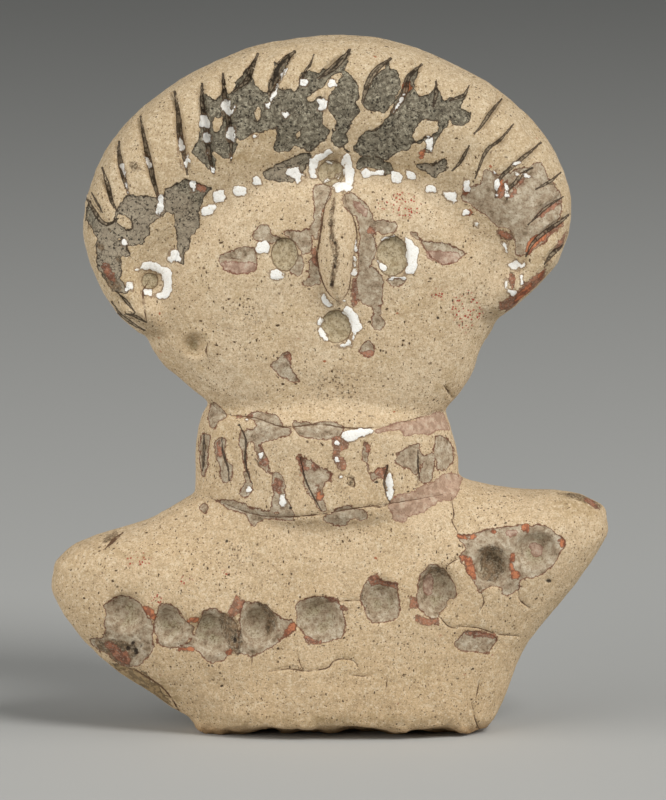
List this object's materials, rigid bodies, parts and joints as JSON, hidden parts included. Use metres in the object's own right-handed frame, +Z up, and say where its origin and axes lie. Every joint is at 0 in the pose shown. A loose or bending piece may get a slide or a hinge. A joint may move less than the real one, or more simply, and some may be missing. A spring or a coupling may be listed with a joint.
{
  "type": "female bust",
  "caption": "Hand-modelled clay bust of a woman with a disc-like face, a slashed wreath of hair, a thick neck band and pressed hollows across the chest.",
  "frame": {"origin": "middle of the flat worn break under the chest, on the surface that the bust stands on", "axes": "+Z up through the head, +X towards the viewer's right of the front, so the figure looks along -Y"},
  "size_m": [0.1042, 0.0334, 0.13],
  "materials": {
    "painted_terracotta": "matt cream-tan fired clay with dark specks, worn grey and black paint in the hair, grey-pink paint with orange-red edges on the neck band and chest, and chalk-white dots and rings"
  },
  "bodies": {
    "root": {"bust": "painted_terracotta"}
  },
  "joints": []
}
